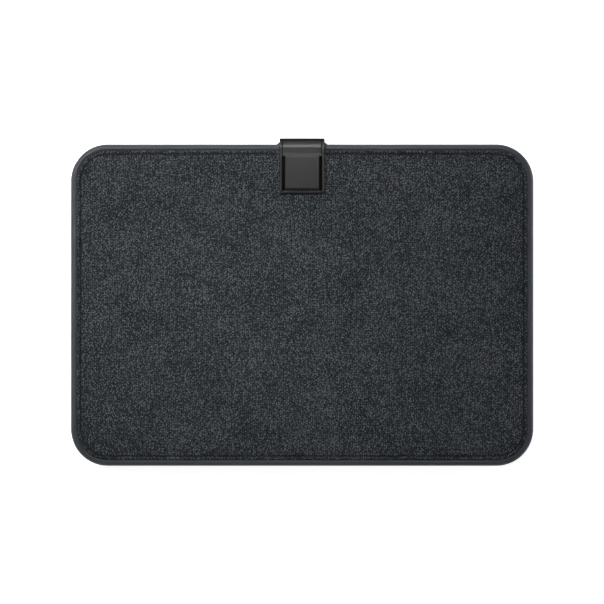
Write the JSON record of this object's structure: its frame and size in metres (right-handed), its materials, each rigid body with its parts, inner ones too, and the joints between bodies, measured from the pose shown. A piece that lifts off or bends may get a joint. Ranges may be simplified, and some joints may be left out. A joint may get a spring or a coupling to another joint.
{
  "type": "padded laptop sleeve",
  "caption": "Flat padded sleeve for a laptop, with a moulded bumper rim, woven panels and a leather strap that closes the mouth with magnets.",
  "frame": {"origin": "centre of the back cover's outer face, which the sleeve rests on", "axes": "+Z out of the front face, +Y out of the mouth, +X to the right across the width, seen from the front"},
  "size_m": [0.325, 0.2304, 0.0276],
  "materials": {
    "woven_cover": "two-tone heathered plain weave with a coated back",
    "bumper": "soft moulded elastomer, satin",
    "leather": "fine matt grain, painted edges",
    "leather_backing": "brushed, slightly napped",
    "lining": "short plush pile",
    "foam": "fine closed-cell foam",
    "board": "stiff polyethylene sheet",
    "thread": "bonded polyester sewing thread",
    "strap_thread": "bonded polyester sewing thread",
    "keeper_steel": "bright zinc plate",
    "magnet": "nickel plate"
  },
  "bodies": {
    "sleeve": {"back_cover": "woven_cover", "back_board": "board", "back_foam": "foam", "back_lining": "lining", "back_bumper": "bumper", "back_mouth_tape": "board", "back_topstitch": "thread", "front_cover": "woven_cover", "front_board": "board", "front_foam": "foam", "front_lining": "lining", "front_bumper": "bumper", "front_mouth_tape": "board", "front_topstitch": "thread", "keeper_plate": "keeper_steel", "left_cushion_rail": "bumper", "right_cushion_rail": "bumper", "bottom_cushion_rail": "bumper", "edge_lining": "lining", "left_mouth_gusset": "lining", "right_mouth_gusset": "lining", "strap_anchor_plate": "board", "strap_base": "leather", "strap_base_stitching": "strap_thread"},
    "bridge_section": {"strap_bridge": "leather", "strap_bridge_backing": "leather_backing", "strap_bridge_stitching": "strap_thread", "strap_back_bend": "leather"},
    "flap_section": {"strap_flap": "leather", "strap_flap_backing": "leather_backing", "flap_stitching": "strap_thread", "magnet_carrier": "board", "flap_magnets": "magnet", "strap_front_bend": "leather"}
  },
  "joints": [
    {"name": "strap_swing", "type": "hinge", "parent": "sleeve", "child": "bridge_section", "pos_m": [0, 0.11499, 0.00256], "axis": [-1, 0, 0], "range_deg": [0, 87], "deforming": ["strap_back_bend"]},
    {"name": "flap_peel", "type": "hinge", "parent": "bridge_section", "child": "flap_section", "pos_m": [0, 0.11499, 0.02374], "axis": [-1, 0, 0], "range_deg": [0, 90], "deforming": ["strap_front_bend"]}
  ]
}
